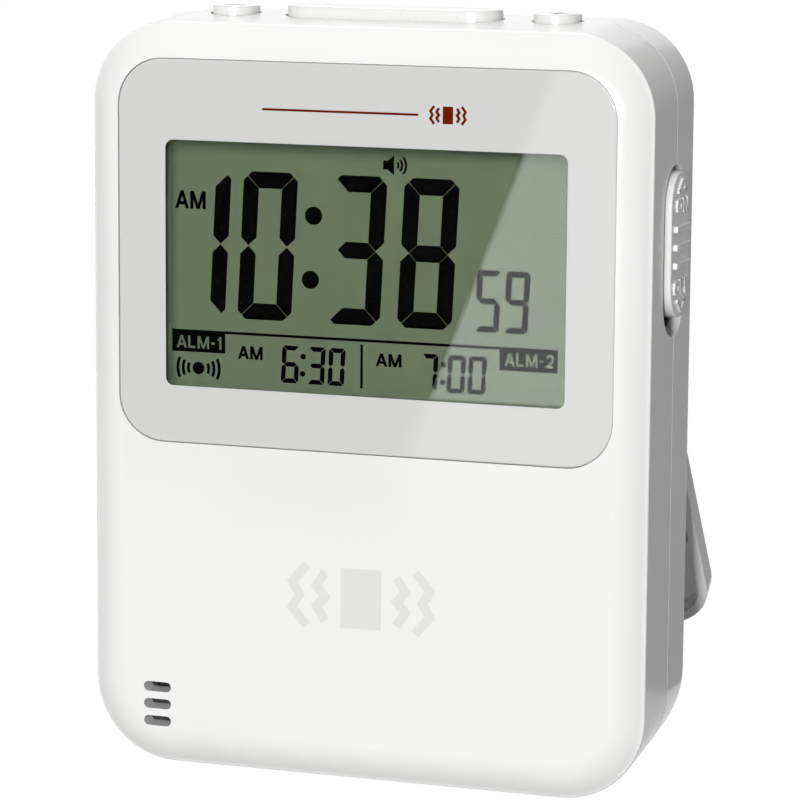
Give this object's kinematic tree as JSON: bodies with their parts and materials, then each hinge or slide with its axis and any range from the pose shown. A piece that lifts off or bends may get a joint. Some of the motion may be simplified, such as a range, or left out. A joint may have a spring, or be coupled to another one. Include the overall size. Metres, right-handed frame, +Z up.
{
  "type": "vibrating alarm clock",
  "caption": "Slim white bedside alarm clock with an LCD window, top buttons, a side on/off slide, a vibration motor and a sprung clip on the back",
  "frame": {"origin": "middle of the base face, on the symmetry plane and half way through the housing", "axes": "X to the right seen from the front, Y from front to back, Z up"},
  "size_m": [0.0787, 0.0469, 0.1016],
  "materials": {
    "white_plastic": "fine satin moulding",
    "button_plastic": "satin",
    "window_plastic": "gloss, printed grey border",
    "lcd": "satin polariser",
    "light_guide_plastic": "clear",
    "inner_plastic": "matt",
    "board_laminate": "solder mask",
    "black_resin": "matt",
    "black_rubber": "matt",
    "steel": "nickel plated",
    "brass": "machined",
    "battery_jacket": "printed foil, plain"
  },
  "bodies": {
    "housing": {"front_housing": "white_plastic", "rear_housing": "white_plastic", "chip_cover": "black_resin", "snooze_switch": "black_resin", "minus_switch": "black_resin", "plus_switch": "black_resin", "time_set_switch": "black_resin", "alarm_set_switch": "black_resin", "buzzer": "black_resin", "board_screw_left": "steel", "board_screw_right": "steel", "crystal": "steel", "slide_switch": "steel", "vibration_motor": "steel", "motor_clamp": "steel", "clamp_screw_upper": "steel", "clamp_screw_lower": "steel", "plate_contact_upper": "steel", "plate_contact_lower": "steel", "spring_contact_upper": "steel", "spring_contact_lower": "steel", "clip_pin": "steel", "clip_spring": "steel", "housing_screw_upper_left": "steel", "housing_screw_upper_right": "steel", "housing_screw_lower_left": "steel", "housing_screw_lower_right": "steel", "display_window": "window_plastic", "lcd_glass": "lcd", "light_guide": "light_guide_plastic", "lcd_holder": "inner_plastic", "contact_strip": "black_rubber", "main_board": "board_laminate", "battery_upper": "battery_jacket", "battery_lower": "battery_jacket"},
    "snooze_bar": {"snooze_bar": "button_plastic"},
    "minus_button": {"minus_button": "button_plastic"},
    "plus_button": {"plus_button": "button_plastic"},
    "time_set_button": {"time_set_button": "button_plastic"},
    "alarm_set_button": {"alarm_set_button": "button_plastic"},
    "alarm_slide": {"alarm_slide": "button_plastic", "slide_knob": "black_resin"},
    "clip": {"clip_lever": "white_plastic"},
    "battery_door": {"battery_door": "white_plastic"},
    "eccentric_weight": {"eccentric_weight": "brass", "motor_shaft": "steel"}
  },
  "joints": [
    {"name": "snooze_press", "type": "slide", "parent": "housing", "child": "snooze_bar", "axis": [0, 0, -1], "range_m": [0, 0.0006], "stiffness_N_per_m": 800, "springref_m": -0.001},
    {"name": "minus_press", "type": "slide", "parent": "housing", "child": "minus_button", "axis": [0, 0, -1], "range_m": [0, 0.0006], "stiffness_N_per_m": 800, "springref_m": -0.001},
    {"name": "plus_press", "type": "slide", "parent": "housing", "child": "plus_button", "axis": [0, 0, -1], "range_m": [0, 0.0006], "stiffness_N_per_m": 800, "springref_m": -0.001},
    {"name": "time_set_press", "type": "slide", "parent": "housing", "child": "time_set_button", "axis": [0, -1, 0], "range_m": [0, 0.0006], "stiffness_N_per_m": 800, "springref_m": -0.001},
    {"name": "alarm_set_press", "type": "slide", "parent": "housing", "child": "alarm_set_button", "axis": [0, -1, 0], "range_m": [0, 0.0006], "stiffness_N_per_m": 800, "springref_m": -0.001},
    {"name": "alarm_slide_move", "type": "slide", "parent": "housing", "child": "alarm_slide", "axis": [0, 0, -1], "range_m": [0, 0.00205]},
    {"name": "clip_hinge", "type": "hinge", "parent": "housing", "child": "clip", "pos_m": [0, 0.0155, 0.0335], "axis": [-1, 0, 0], "range_deg": [0, 28], "stiffness_Nm_per_rad": 0.12, "springref_deg": -28.65, "deforming": ["clip_spring"]},
    {"name": "door_hinge", "type": "hinge", "parent": "housing", "child": "battery_door", "pos_m": [0, 0.01125, 0.05645], "axis": [-1, 0, 0], "range_deg": [0, 78]},
    {"name": "weight_spin", "type": "hinge", "parent": "housing", "child": "eccentric_weight", "pos_m": [-0.005, 0.00032, 0.02407], "axis": [1, 0, 0], "continuous": true}
  ]
}
